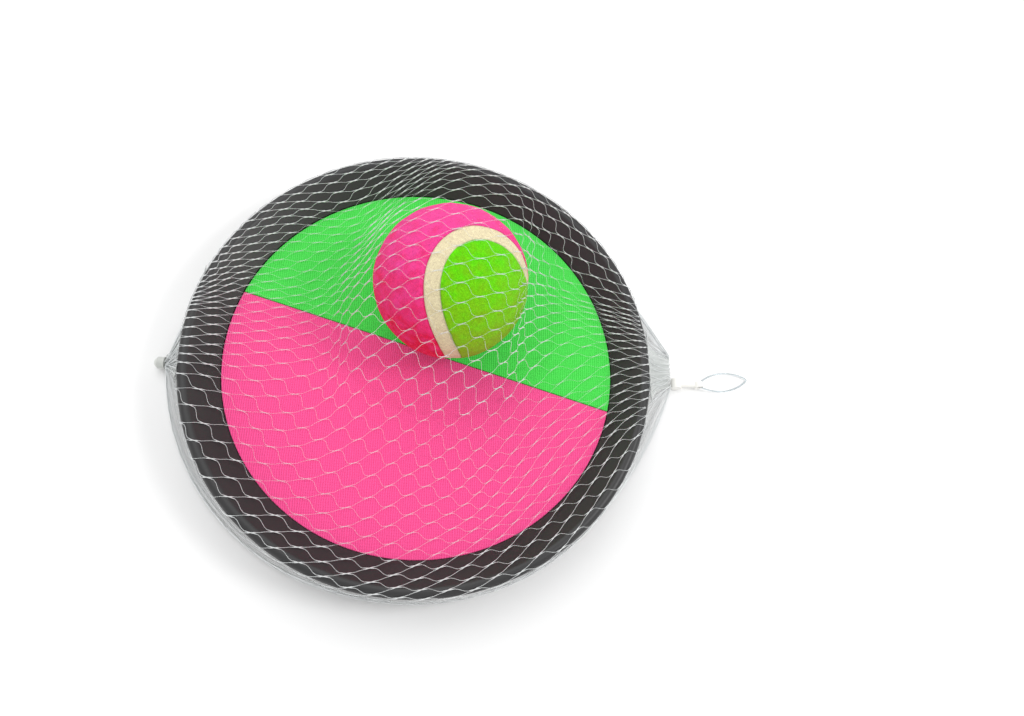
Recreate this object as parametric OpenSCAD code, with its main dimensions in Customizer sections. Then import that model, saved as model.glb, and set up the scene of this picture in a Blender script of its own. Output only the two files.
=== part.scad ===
// Hook and loop catch set: a dished hand paddle with a two colour pile face, a felt
// covered ball stuck to it, and the drawn net bag that both are sold in.
// Sizes are in millimetres. +Z is up, z = 0 is the surface that the bag lies on, the
// Z axis is the paddle's axis and +X runs along the bag to its hang loop.

/* [Paddle dish] */
// Outside diameter of the dish over its lip
paddle_d = 192; // [170:1:220]
// Radial width of the sloped rim, from the fabric's edge to the outside of the lip
rim_w = 15; // [12:0.5:20]
// Height of the lip's crest above the fabric's face
rim_rise = 10; // [7:0.5:14]
// Radius of the rolled lip
lip_r = 2.5; // [1.8:0.1:3.2]
// Wall of the moulding
wall_t = 2; // [1.5:0.1:2.6]
// Outside diameter of the foot ring
foot_d = 140; // [128:1:146]
// Height of the foot ring
foot_h = 12; // [11:0.5:18]
// Number of gussets between the foot ring and the rim
gusset_n = 12; // [6:1:24]
// Thickness of a gusset
gusset_t = 1.6; // [1:0.1:3]
// Height of a gusset down the foot ring
gusset_h = 7; // [3:0.5:10]

/* [Fabric face] */
// Thickness of the pile fabric
pad_t = 1.3; // [0.8:0.1:2.5]
// Thickness of the glue film under the fabric
glue_t = 0.2; // [0.1:0.05:0.5]
// Clearance round the fabric's edge
pad_gap = 0.3; // [0.2:0.1:1]
// Height of the seat's edge over the fabric's face
pad_step = 0.3; // [0.1:0.1:1]
// Turn of the line where the two colours meet
split_turn = -16; // [-90:1:90]
// Distance of that line from the paddle's axis
split_off = 5.3; // [-20:0.1:20]
// Joint between the two colours
split_gap = 0.2; // [0.1:0.1:1]

/* [Hand strap] */
// Width of the webbing
strap_w = 25; // [20:0.5:32]
// Thickness of the webbing
strap_t = 1.4; // [1:0.1:1.6]
// Clearance between the webbing and the moulding
strap_gap = 0.4; // [0.3:0.1:0.8]
// Distance between the two bars that hold the strap
bar_pitch = 92; // [84:1:98]
// Width of a bar along the strap
bar_w = 4; // [3.4:0.1:6]
// Thickness of a bar
bar_t = 2.5; // [2:0.1:3]
// Room for the webbing between a bar and the dish
bar_gap = 4; // [3.4:0.1:4.6]
// Thickness of the post at each end of a bar
post_t = 2.4; // [1.6:0.1:4]
// Thickness of the hook tape and of the loop tape on the strap
tape_t = 0.8; // [0.5:0.1:1]
// Length of each tape
tape_l = 28; // [18:1:32]
// Length of the sewn end that turns back at the fixed bar
sewn_l = 24; // [14:1:34]

/* [Ball] */
// Diameter of the ball over its felt
ball_d = 61.2; // [52:0.2:70]
// Place of the ball on the face, along the bag
ball_x = 9.5; // [-20:0.5:20]
// Place of the ball on the face, across the bag
ball_y = 23.3; // [-25:0.1:25]
// Gap between the ball and the fabric that holds it
ball_gap = 0.3; // [0.2:0.1:1]
// Thickness of the felt
felt_t = 2.2; // [1.5:0.1:4]
// Wall of the rubber core
core_t = 3; // [2:0.1:5]
// Width of the pale seam band
seam_w = 6.3; // [3:0.1:9]
// Depth of the seam band under the felt's surface
seam_sink = 0.4; // [0.2:0.1:1]
// How far the seam waves, from a plain hoop to a deep wave
seam_wave = 0.235; // [0.15:0.005:0.3]
// Clearance in the glued layers of the ball
felt_gap = 0.25; // [0.2:0.05:0.5]

/* [Net bag] */
// Width of a strand of the net
strand_w = 0.8; // [0.5:0.1:1.2]
// Thickness of a strand
strand_t = 0.6; // [0.4:0.1:1]
// Length over which two strands run together at a bond
bond_l = 2.6; // [1.5:0.1:3.5]
// Pairs of strand rows across the upper side
row_pairs = 13; // [9:1:14]
// Columns of bonds along the upper side
col_n = 24; // [20:1:28]
// Distance between the bonds of the under side along the bag
mesh_l = 17; // [14:0.5:24]
// Distance between the bonds of the under side across the bag
mesh_w = 14; // [11:0.5:20]
// How far the flat under side reaches out past the foot ring
hem_out = 4; // [2:0.5:8]
// Clearance between the net and what it lies on
net_gap = 0.4; // [0.3:0.1:1]
// Slope at which the net leaves the ball, from level
net_fall = 52; // [46:1:56]
// Slope at which the net comes down beside the ball, from level
net_drop = 70; // [64:1:73]
// Width in which the net passes over the lip to each closed end
throat_w = 48; // [36:1:60]
// Pleats in a gathered end
pleat_n = 7; // [4:1:10]
// Width of the folded tab at the loop end
tab_w = 22; // [14:0.5:30]
// Place of the tab across the bag
tab_y = 10; // [-15:0.5:15]
// Width of the gathered tail at the sealed end
tail_w = 12; // [8:0.5:20]
// Thickness of the tab and of the tail
tab_t = 4; // [3:0.1:5]

/* [Closures] */
// Distance from the lip to the hang clip's swing axis
clip_out = 19; // [16:0.5:26]
// Place of the hang clip across the bag
clip_y = 2; // [-15:0.5:15]
// Diameter of the clip's sleeve
sleeve_d = 4.4; // [4:0.1:6]
// Length of the sleeve past its round end
sleeve_l = 2.5; // [1.5:0.1:6]
// Diameter of the stem
stem_d = 2.4; // [1.8:0.1:3.2]
// Length of the stem, from the sleeve to the eye's centre
stem_l = 8; // [6:0.1:14]
// Diameter of the eye at the stem's end
eye_d = 4.2; // [3.8:0.1:5]
// Length of the hang loop
loop_l = 26; // [20:0.5:40]
// Width of the hang loop
loop_w = 9.8; // [9:0.1:14]
// Diameter of the hang loop's wire
wire_d = 1.2; // [0.8:0.1:1.4]
// Turn of the hang loop and its eye, as it lies
loop_turn = 11; // [-20:1:20]
// Clearance of the wire in the eye
wire_gap = 0.3; // [0.25:0.05:0.5]
// Distance from the lip to the seal at the bag's other end
seal_out = 11; // [9:0.5:20]
// Place of that seal across the bag
seal_y = -2; // [-15:0.5:15]
// Diameter of the seal
seal_d = 5; // [4:0.1:6]
// Length of the seal
seal_l = 4; // [2:0.1:8]

/* [Hidden] */
$fn = 96;

// Levels, from the table up
z_foot = strand_t;
z_back = z_foot + foot_h;
z_seat = z_back + wall_t;
z_pad = z_seat + glue_t;
z_face = z_pad + pad_t;
z_crest = z_face + rim_rise;

// Section of the dish: the rim's slope leaves the seat's edge and is tangent to the lip
r_out = paddle_d / 2;
r_pad = r_out - rim_w;
r_seat = r_pad + pad_gap;
r_lip = r_out - lip_r;
z_lip = z_crest - lip_r;
rim_foot = [r_seat, z_face + pad_step];
to_lip = [r_lip, z_lip] - rim_foot;
rim_turn = atan2(to_lip[1], to_lip[0]) + asin(lip_r / norm(to_lip));
rim_run = sqrt(norm(to_lip) ^ 2 - lip_r ^ 2);
rim_head = rim_foot + rim_run * [cos(rim_turn), sin(rim_turn)];
rim_in = wall_t * [sin(rim_turn), -cos(rim_turn)];
r_heel = rim_foot[0] + rim_in[0] - (rim_foot[1] + rim_in[1] - z_back) / tan(rim_turn);

// Strap levels: bars hang under the dish and the webbing turns round them
bar_x = bar_pitch / 2;
bar_span = strap_w + 2 * strap_gap + 2 * post_t;
z_bar = z_back - bar_gap - bar_t / 2;
turn_x = bar_x + (bar_w - bar_t) / 2;
turn_r = bar_t / 2 + strap_gap + strap_t / 2;
z_low = z_bar - turn_r;
z_palm = z_low + strap_t + 0.2;
z_tail = z_palm - strap_t - 2 * tape_t;
tape_x = bar_x - bar_w / 2 - 8 - tape_l;

// Ball
ball_r = ball_d / 2;
ball_z = z_face + ball_gap + ball_r;
core_r = ball_r - felt_t - felt_gap;
ball_turn = [26, -25, -97];
seam_steps = 18;
felt_cols = 8;

// Net: the upper side lies on the paddle and goes over the ball and the lip
row_n = 2 * row_pairs;
net_rb = ball_r + 2 * net_gap + strand_t / 2;
net_rl = lip_r + net_gap + strand_t / 2;
// The net crosses the lip at three bonds, far enough out for the straight strands between
lip_over = 50;
lip_under = 133;
lip_in = 2 * lip_over - lip_under;
lip_reach = net_rl / cos((lip_under - lip_over) / 2);
row_r = r_lip + lip_reach * sin(lip_over);
ring_r = r_lip + lip_reach * sin(lip_in);
hem_r = foot_d / 2 + hem_out;
z_hem = strand_t + strand_w + strand_t / 2;
z_bed = z_face + net_gap + strand_t / 2;

// Closures
clip_x = r_out + clip_out;
clip_z = max(sleeve_d, eye_d) / 2 + 0.3;
eye_x = sleeve_l + stem_l;
loop_drop = asin((clip_z - wire_d / 2 - 0.05) / (loop_l - wire_d));
seal_x = -r_out - seal_out;
seal_z = max(seal_d, tab_t) / 2 + net_gap;
tab_z = max(clip_z, tab_t / 2 + net_gap);

// Vector of length one
function unit(v) = v / norm(v);

// Outline of a band of one thickness along a path of points
function path_side(p, i) =
    let (d = unit(p[min(i + 1, len(p) - 1)] - p[max(i - 1, 0)]))
    [-d[1], d[0]];
function band(p, t) = concat(
    [for (i = [0:len(p) - 1]) p[i] + path_side(p, i) * t / 2],
    [for (i = [len(p) - 1:-1:0]) p[i] - path_side(p, i) * t / 2]
);
function arc(c, r, a, b, n) =
    [for (k = [0:n]) c + r * [cos(a + (b - a) * k / n), sin(a + (b - a) * k / n)]];

// Faces of a solid lofted through m flat loops of n points, each out on one side and back on the other
function loft_faces(n, m) = concat(
    [for (k = [0:m - 2], i = [0:n - 1]) [k * n + i, k * n + (i + 1) % n, (k + 1) * n + i]],
    [for (k = [0:m - 2], i = [0:n - 1])
        [k * n + (i + 1) % n, (k + 1) * n + (i + 1) % n, (k + 1) * n + i]],
    [for (i = [0:n / 2 - 2], f = quad(i, n - 1 - i, n - 2 - i, i + 1)) f],
    [for (i = [0:n / 2 - 2], f = quad(i, i + 1, n - 2 - i, n - 1 - i)) [for (v = f) v + (m - 1) * n]]
);

// Seam of a two panel ball on a sphere of radius one, and a line beside it
function seam_at(t) =
    let (a = 1 - seam_wave, c = 2 * sqrt(a * seam_wave))
    [a * cos(t) + seam_wave * cos(3 * t), a * sin(t) - seam_wave * sin(3 * t), c * sin(2 * t)];
function seam_across(t) = unit(cross(seam_at(t + 1) - seam_at(t - 1), seam_at(t)));
function beside_seam(t, off) =
    let (w = off / ball_r * 180 / PI)
    seam_at(t) * cos(w) + seam_across(t) * sin(w);

// One felt panel: rows run from lobe to lobe, columns cross it between the seam lines
function felt_row(k) =
    let (
        near = k <= seam_steps,
        step = near ? k : 2 * seam_steps - k,
        t = max(-44, -45 + 90 * step / seam_steps),
        e = beside_seam(t, -seam_w / 2),
        h = (e[0] + e[1]) / sqrt(2),
        m = unit(e - h * [1, 1, 0] / sqrt(2)),
        s = near ? 1 : -1
    )
    [h, [s * m[0], s * m[1], m[2]]];
function felt_points(r) = [
    for (k = [0:2 * seam_steps])
        let (row = felt_row(k))
        for (j = [0:felt_cols])
            let (w = row[0] * (2 * j / felt_cols - 1))
            r * (w * [1, 1, 0] / sqrt(2) + sqrt(1 - w * w) * row[1])
];
function grid_faces(rows, cols, at, flip) = [
    for (k = [0:rows - 2], j = [0:cols - 2])
        let (a = at + k * cols + j, b = a + 1, c = a + cols, d = c + 1)
        for (f = flip ? [[a, b, c], [b, d, c]] : [[a, c, b], [b, c, d]]) f
];
function wall_faces(edge, other) = [
    for (i = [0:len(edge) - 1])
        let (a = edge[i], b = edge[(i + 1) % len(edge)])
        for (f = [[b, a, a + other], [b, a + other, b + other]]) f
];

// Height of the net over a point of the plan: it lies on the fabric and on the rim's
// slope, and stands over the ball as a cap and a skirt that is steeper under its knee
function net_bed(r) = max(z_bed, z_lip + (net_rl + (r - r_lip) * sin(rim_turn)) / cos(rim_turn));
function net_skirt(d) =
    let (
        cap = net_rb * sin(net_fall),
        knee = net_rb + 10 * net_gap,
        under_knee = max(0, d - knee) * (tan(net_drop) - tan(net_fall))
    )
    d < cap ? ball_z + sqrt(net_rb ^ 2 - d ^ 2)
    : ball_z + net_rb * cos(net_fall) - (d - cap) * tan(net_fall) - under_knee;
function net_z(x, y) = max(net_bed(norm([x, y])), net_skirt(norm([x - ball_x, y - ball_y])));

// Bonds of the upper net: columns run across the bag, rows along it. On each side one row
// lies on the lip's inner side, one on the lip, one under it and one on the edge of the
// flat under side. The two columns at each end lie on the lip and on its inner side
col_end = ring_r * (col_n - 5) / (col_n - 3);
function col_x(i) = col_end * (2 * (i - 2) / (col_n - 5) - 1);
function end_col(i) = min(i, col_n - 1 - i);
function half_col(i, r) =
    end_col(i) == 0 ? throat_w / 2
    : end_col(i) == 1 ? r * sin((asin(throat_w / 2 / r) + acos(col_end / r)) / 2)
    : sqrt(r ^ 2 - col_x(i) ^ 2);
function net_face(i, j) =
    let (
        on_lip = end_col(i) == 0 || j == 2 || j == row_n - 3,
        q = (2 * j - row_n + 1) / (row_n - (on_lip ? 5 : 7)),
        r = on_lip ? row_r : ring_r,
        y = q * half_col(i, r),
        x = end_col(i) < 2 ? sign(i - col_n / 2) * sqrt(r ^ 2 - y ^ 2) : col_x(i),
        turn = on_lip ? lip_over : lip_in,
        at_lip = on_lip || end_col(i) == 1 || abs(q) == 1
    )
    [x, y, at_lip ? z_lip + lip_reach * cos(turn) : net_z(x, y)];
function net_side(i, far, j) =
    let (
        p = net_face(i, j),
        e = unit([p[0], p[1]]),
        r = far ? hem_r - strand_w : r_lip + lip_reach * sin(lip_under)
    )
    [e[0] * r, e[1] * r, far ? z_hem : z_lip + lip_reach * cos(lip_under)];
function net_place(i, j) =
    j < 2 ? net_side(i, j == 0, 2)
    : j > row_n - 3 ? net_side(i, j == row_n - 1, row_n - 3)
    : net_face(i, j);
net_grid = [for (i = [0:col_n - 1]) [for (j = [0:row_n - 1]) net_place(i, j)]];

// Twelve corners of the bond at column i, row j: entry and exit, three across, two deep.
// A bond on the fabric lies flat, and every other one turns with its neighbours
function bond_turn(v, c) =
    let (near = norm([c[0], c[1]]) < r_pad - bond_l ? bond_l / 2 : 0.01)
    [v[0], v[1], abs(c[2] - z_bed) < near ? 0 : v[2]];
function bond_points(i, j) =
    let (
        c = net_grid[i][j],
        along = bond_turn(net_grid[min(i + 1, col_n - 1)][j] - net_grid[max(i - 1, 0)][j], c),
        over = bond_turn(net_grid[i][min(j + 1, row_n - 1)] - net_grid[i][max(j - 1, 0)], c),
        n = unit(cross(along, over)),
        t = unit(along),
        b = cross(n, t)
    )
    [
        for (e = [-1, 1], a = [-1, 0, 1], d = [-1, 1])
            c + t * e * bond_l / 2 + b * a * strand_w + n * d * strand_t / 2
    ];
bonds = [for (i = [0:col_n - 1], j = [i % 2:2:row_n - 1]) [i, j]];
function bond_id(i, j) = 12 * (i * row_pairs + floor(j / 2));
function has_bond(i, j) = i >= 0 && i < col_n && j >= 0 && j < row_n;
function quad(a, b, c, d) = [[a, b, c], [a, c, d]];

// Faces of a bond, of the two strands that leave it, and of its open ends
function bond_faces(i, j) =
    let (o = bond_id(i, j))
    concat(
        quad(o + 1, o + 3, o + 9, o + 7), quad(o + 3, o + 5, o + 11, o + 9),
        quad(o + 6, o + 8, o + 2, o), quad(o + 8, o + 10, o + 4, o + 2),
        quad(o, o + 1, o + 7, o + 6), quad(o + 5, o + 4, o + 10, o + 11),
        has_bond(i - 1, j - 1) ? [] : quad(o, o + 2, o + 3, o + 1),
        has_bond(i - 1, j + 1) ? [] : quad(o + 2, o + 4, o + 5, o + 3),
        has_bond(i + 1, j - 1) ? strand_faces(o + 6, bond_id(i + 1, j - 1) + 2)
            : quad(o + 7, o + 9, o + 8, o + 6),
        has_bond(i + 1, j + 1) ? strand_faces(o + 8, bond_id(i + 1, j + 1))
            : quad(o + 9, o + 11, o + 10, o + 8)
    );
function strand_faces(p, q) = concat(
    quad(p + 1, p + 3, q + 3, q + 1), quad(p + 2, p, q, q + 2),
    quad(p, p + 1, q + 1, q), quad(p + 3, p + 2, q + 2, q + 3)
);

// Closed loop round a gathered end, from the lip (f = 0) to its flat end (f = 1)
pleat_cols = 4 * pleat_n;
gather_r = row_r + bond_l / 2 + net_gap;
z_gather = z_lip + lip_reach * cos(lip_over);
function gather_loop(f, nx, ny, nz, w1) =
    let (
        ease = f * f * (3 - 2 * f),
        along = 0.44 * f + 0.56 * f ^ 3,
        drop = sin(90 * f) ^ 1.5,
        lean = 45 * (1 - f) + 45 * sin(180 * f),
        w = throat_w / 2 * (1 - ease) + w1 / 2 * ease
    )
    [
        for (k = [0:2 * pleat_cols - 1])
            let (
                out = k < pleat_cols ? 1 : -1,
                s = (out > 0 ? k : 2 * pleat_cols - 1 - k) / (pleat_cols - 1) * 2 - 1,
                x0 = sqrt(gather_r ^ 2 - (s * throat_w / 2) ^ 2),
                pleat = 0.35 + 0.35 * cos(180 * pleat_n * (s + 1)),
                full = tab_t / 2 * (0.35 + 0.65 * sqrt(1 - s * s)) - 0.7 + pleat,
                reach = out > 0 ? 0.45 + pleat + (full - 0.45 - pleat) * ease : -full * ease
            )
            [
                x0 * (1 - along) + nx * along + reach * sin(lean),
                s * w + ny * ease,
                z_gather * (1 - drop) + nz * drop + reach * cos(lean)
            ]
    ];
module gather(nx, ny, nz, w1) {
    loops = [for (f = [0:0.125:1]) gather_loop(f, nx, ny, nz, w1)];
    polyhedron([for (l = loops, p = l) p], loft_faces(len(loops[0]), len(loops)));
}

module dish() {
    color("#2b2b2d") difference() {
        union() {
            rotate_extrude() dish_section();
            for (s = [-1, 1]) strap_bridge(s);
            for (k = [0:gusset_n - 1]) rotate((k + 0.5) * 360 / gusset_n) gusset();
        }
        for (s = [-1, 1]) strap_window(s);
    }
}
module dish_section() {
    polygon([
        [0, z_back], [r_heel, z_back], rim_foot + rim_in, rim_head + rim_in,
        rim_head, rim_foot, [r_seat, z_seat], [0, z_seat]
    ]);
    translate([r_lip, z_lip]) circle(lip_r);
    translate([foot_d / 2 - wall_t, z_foot]) square([wall_t, foot_h + wall_t / 2]);
}
module gusset() {
    rotate([90, 0, 0]) linear_extrude(gusset_t, center = true) polygon([
        [foot_d / 2 - wall_t / 2, z_back - gusset_h],
        [r_heel, z_back + wall_t / 2],
        [foot_d / 2 - wall_t / 2, z_back + wall_t / 2]
    ]);
}
module strap_bridge(s) {
    translate([s * bar_x, 0, z_bar]) rotate([90, 0, 0]) linear_extrude(bar_span, center = true) {
        square([bar_w - bar_t, bar_t], center = true);
        for (k = [-1, 1]) translate([k * (bar_w - bar_t) / 2, 0]) circle(bar_t / 2);
    }
    for (k = [-1, 1])
        translate([s * bar_x, k * (bar_span - post_t) / 2, z_bar])
            rotate([90, 0, 0]) linear_extrude(post_t, center = true)
                polygon([
                    [-bar_w / 2 + bar_t / 2, -bar_t / 2], [bar_w / 2 - bar_t / 2, -bar_t / 2],
                    [bar_w / 2, 0], [bar_w, z_back - z_bar + wall_t / 2],
                    [-bar_w, z_back - z_bar + wall_t / 2], [-bar_w / 2, 0]
                ]);
}
module strap_window(s) {
    translate([s * bar_x - bar_w / 2, -strap_w / 2 - strap_gap, z_back - 1])
        cube([bar_w, strap_w + 2 * strap_gap, wall_t + 2]);
}

module glue_film() {
    color("#d8d2b4") translate([0, 0, z_seat]) linear_extrude(glue_t) circle(r_pad);
}

module face_half(side) {
    size = 2.2 * r_pad;
    translate([0, 0, z_pad]) linear_extrude(pad_t) intersection() {
        circle(r_pad);
        rotate(split_turn)
            translate([-size / 2, side > 0 ? split_off + split_gap / 2 : split_off - split_gap / 2 - size])
                square(size);
    }
}
module face_pink() {
    color("#fa5596") face_half(-1);
}
module face_green() {
    color("#5ce361") face_half(1);
}

// The webbing is sewn round the left bar, runs under the palm, turns round the right
// bar and comes back to its own loop tape
strap_path = concat(
    [[-turn_x + sewn_l, z_low]],
    arc([-turn_x, z_bar], turn_r, -90, -270, 12),
    [[-bar_x + bar_w / 2 - bar_t / 2 + turn_r * 0.32, z_bar + turn_r]],
    [[-bar_x + bar_w / 2 + 4.6, z_palm + 0.3], [-bar_x + bar_w / 2 + 7, z_palm]],
    [[bar_x - bar_w / 2 - 7, z_palm], [bar_x - bar_w / 2 - 4.6, z_palm + 0.3]],
    [[bar_x - bar_w / 2 + bar_t / 2 - turn_r * 0.32, z_bar + turn_r]],
    arc([turn_x, z_bar], turn_r, 90, -90, 12),
    [[bar_x - bar_w / 2 - 1, z_low - 0.2], [bar_x - bar_w / 2 - 5, z_tail]],
    [[tape_x - 6, z_tail]]
);
module hand_strap() {
    color("#3a3a3e") rotate([90, 0, 0]) linear_extrude(strap_w, center = true)
        polygon(band(strap_path, strap_t));
}
module strap_hook_tape() {
    color("#1d1d1f")
        translate([tape_x, -strap_w / 2, z_tail + strap_t / 2]) cube([tape_l, strap_w, tape_t]);
}
module strap_loop_tape() {
    color("#4a4a50")
        translate([tape_x, -strap_w / 2, z_palm - strap_t / 2 - tape_t]) cube([tape_l, strap_w, tape_t]);
}

module core_half(s) {
    translate([ball_x, ball_y, ball_z]) mirror([0, 0, s > 0 ? 0 : 1]) rotate_extrude() intersection() {
        difference() {
            circle(core_r);
            circle(core_r - core_t);
        }
        square(core_r + 1);
    }
}
module ball_core_lower() {
    color("#8a8478") core_half(-1);
}
module ball_core_upper() {
    color("#8a8478") core_half(1);
}
module felt_panel() {
    rows = 2 * seam_steps + 1;
    cols = felt_cols + 1;
    top = rows * cols;
    edge = concat(
        [for (j = [0:cols - 2]) j],
        [for (k = [0:rows - 2]) k * cols + cols - 1],
        [for (j = [cols - 1:-1:1]) (rows - 1) * cols + j],
        [for (k = [rows - 1:-1:1]) k * cols]
    );
    polyhedron(
        concat(felt_points(core_r + felt_gap), felt_points(ball_r)),
        concat(
            grid_faces(rows, cols, 0, true), grid_faces(rows, cols, top, false),
            wall_faces(edge, top)
        )
    );
}
module ball_place() {
    translate([ball_x, ball_y, ball_z]) rotate(ball_turn) children();
}
module ball_felt_pink() {
    color("#ff2a78") ball_place() felt_panel();
}
module ball_felt_green() {
    color("#78d70c") ball_place() rotate(90) mirror([0, 0, 1]) felt_panel();
}
module ball_seam() {
    half = seam_w / 2 - felt_gap;
    low = core_r + felt_gap;
    high = ball_r - seam_sink;
    n = 4 * seam_steps;
    pts = [
        for (k = [0:n - 1])
            let (t = -45 + 90 * k / seam_steps)
            for (c = [[-1, low], [1, low], [1, high], [-1, high]])
                c[1] * beside_seam(t, c[0] * half)
    ];
    faces = [
        for (k = [0:n - 1], i = [0:3])
            let (
                a = 4 * k + i,
                b = 4 * k + (i + 1) % 4,
                c = 4 * ((k + 1) % n) + i,
                d = 4 * ((k + 1) % n) + (i + 1) % 4
            )
            for (f = [[a, b, c], [b, d, c]]) f
    ];
    color("#faf5dc") ball_place() polyhedron(pts, faces);
}

module net_upper() {
    color("#f2f4f4") polyhedron(
        [for (b = bonds, p = bond_points(b[0], b[1])) p],
        [for (b = bonds, f = bond_faces(b[0], b[1])) f]
    );
}
module net_under() {
    hole_l = mesh_l - 2 * strand_w;
    hole_w = mesh_w - 2 * strand_w;
    nx = ceil(hem_r / mesh_l) * 2;
    ny = ceil(hem_r / mesh_w) * 2;
    color("#e6eaea") linear_extrude(strand_t) difference() {
        circle(hem_r);
        intersection() {
            circle(hem_r - 2 * strand_w);
            union() for (i = [-nx:nx], j = [-ny:ny])
                if ((i + j) % 2 == 0 && norm([i * mesh_l / 2, j * mesh_w / 2]) < hem_r - 2 * strand_w)
                    translate([i * mesh_l / 2, j * mesh_w / 2])
                        polygon([[-hole_l / 2, 0], [0, -hole_w / 2], [hole_l / 2, 0], [0, hole_w / 2]]);
        }
    }
}
module net_gather_loop_end() {
    color("#e9eeee") gather(clip_x - sleeve_d / 2 - net_gap, tab_y, tab_z, tab_w);
}
module net_gather_seal_end() {
    color("#e9eeee") mirror([1, 0, 0]) gather(-seal_x - net_gap, seal_y, seal_z, tail_w);
}
module end_seal() {
    color("#cfd2cc") translate([seal_x, seal_y, seal_z]) rotate([0, -90, 0]) {
        cylinder(h = seal_l - seal_d / 4, d = seal_d);
        translate([0, 0, seal_l - seal_d / 4]) cylinder(h = seal_d / 4, d1 = seal_d, d2 = seal_d / 2);
    }
}

// The clip's knuckle turns on the swing axis; the loop's wire hangs in its eye
module hang_clip() {
    color("#f4f4f0") translate([clip_x, clip_y, clip_z]) difference() {
        union() {
            rotate([90, 0, 0]) cylinder(h = sleeve_d, d = sleeve_d, center = true);
            rotate([0, 90, 0]) cylinder(h = sleeve_l, d = sleeve_d);
            rotate([0, 90, 0]) cylinder(h = eye_x, d = stem_d);
            eye_round(stem_d, eye_d);
        }
        eye_round(stem_d + 2, wire_d + 2 * wire_gap);
    }
}
module eye_round(h, d) {
    translate([eye_x, 0, 0]) rotate([90, 0, loop_turn]) cylinder(h = h, d = d, center = true);
}
module hang_loop() {
    bend = (loop_w - wire_d) / 2;
    run = loop_l - loop_w;
    color("#d5e2e6") translate([clip_x + eye_x, clip_y, clip_z]) rotate([0, loop_drop, loop_turn]) {
        for (e = [0, 1])
            translate([bend + e * run, 0, 0]) rotate(90 + 180 * e)
                rotate_extrude(angle = 180) translate([bend, 0]) circle(d = wire_d, $fn = 32);
        for (s = [-1, 1])
            translate([bend, s * bend, 0]) rotate([0, 90, 0]) cylinder(h = run, d = wire_d, $fn = 32);
    }
}

dish();
glue_film();
face_pink();
face_green();
hand_strap();
strap_hook_tape();
strap_loop_tape();
ball_core_lower();
ball_core_upper();
ball_felt_pink();
ball_felt_green();
ball_seam();
net_upper();
net_under();
net_gather_loop_end();
net_gather_seal_end();
end_seal();
hang_clip();
hang_loop();
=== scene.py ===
import math

import bpy
import numpy as np
from mathutils import Matrix, Vector


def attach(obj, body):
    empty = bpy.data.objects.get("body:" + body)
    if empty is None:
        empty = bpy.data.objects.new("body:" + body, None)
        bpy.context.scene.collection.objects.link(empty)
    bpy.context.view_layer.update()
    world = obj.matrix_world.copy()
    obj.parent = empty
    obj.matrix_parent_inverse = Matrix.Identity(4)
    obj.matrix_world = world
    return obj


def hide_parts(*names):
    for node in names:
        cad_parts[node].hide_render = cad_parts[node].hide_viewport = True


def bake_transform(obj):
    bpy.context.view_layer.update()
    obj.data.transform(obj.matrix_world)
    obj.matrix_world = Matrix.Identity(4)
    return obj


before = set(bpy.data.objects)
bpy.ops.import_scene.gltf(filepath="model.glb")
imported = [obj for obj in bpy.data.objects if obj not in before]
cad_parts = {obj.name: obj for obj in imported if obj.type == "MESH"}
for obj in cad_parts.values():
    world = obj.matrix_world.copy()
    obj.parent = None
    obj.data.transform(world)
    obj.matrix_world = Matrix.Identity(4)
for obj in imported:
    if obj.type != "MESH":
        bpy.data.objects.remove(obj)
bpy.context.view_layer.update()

# The table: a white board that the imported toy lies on, lit by a large soft lamp behind
# it and by the pale room. It is the stage and no part of the toy.
bpy.ops.object.select_all(action="DESELECT")
bpy.ops.mesh.primitive_plane_add(size=8, location=(0, 0, -0.0002))
table = bpy.context.object
table.name = "table"
bpy.ops.object.transform_apply(location=True)


def paint(code, depth=1.0):
    """A colour as a maker names it on a chart, #rrggbb, as the light it gives back."""
    parts = [int(code[i:i + 2], 16) / 255 for i in (1, 3, 5)]
    return tuple(depth * (c / 12.92 if c <= 0.04045 else ((c + 0.055) / 1.055) ** 2.4) for c in parts) + (1.0,)


def start_finish(name, roughness):
    finish = bpy.data.materials.new(name)
    finish.use_nodes = True
    shell = finish.node_tree.nodes["Principled BSDF"]
    shell.inputs["Roughness"].default_value = roughness
    return finish, finish.node_tree, shell


def add_node(tree, kind, settings=None, **sockets):
    """A node with its settings; a socket takes a value or another node's output, and
    a number such as _1 stands for a socket's place where its name is not its own."""
    node = tree.nodes.new(kind)
    for key, value in (settings or {}).items():
        setattr(node, key, value)
    for key, value in sockets.items():
        socket = node.inputs[int(key[1:])] if key[0] == "_" else node.inputs[key.replace("__", " ")]
        if isinstance(value, bpy.types.NodeSocket):
            tree.links.new(value, socket)
        else:
            socket.default_value = value
    return node


def blend_colours(tree, share, first, second):
    ramp = add_node(tree, "ShaderNodeMix", {"data_type": "RGBA"}, _0=share)
    for place, colour in ((6, first), (7, second)):
        if isinstance(colour, bpy.types.NodeSocket):
            tree.links.new(colour, ramp.inputs[place])
        else:
            ramp.inputs[place].default_value = colour
    return ramp.outputs[2]


board_finish, board_tree, board_shell = start_finish("white_board", 0.85)
board_where = add_node(board_tree, "ShaderNodeTexCoord").outputs["Object"]
board_cloud = add_node(board_tree, "ShaderNodeTexNoise", Vector=board_where, Scale=5.0).outputs["Fac"]
board_tree.links.new(blend_colours(board_tree, board_cloud, (0.93, 0.93, 0.93, 1), (0.95, 0.95, 0.95, 1)),
                     board_shell.inputs["Base Color"])
table.data.materials.append(board_finish)

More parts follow.
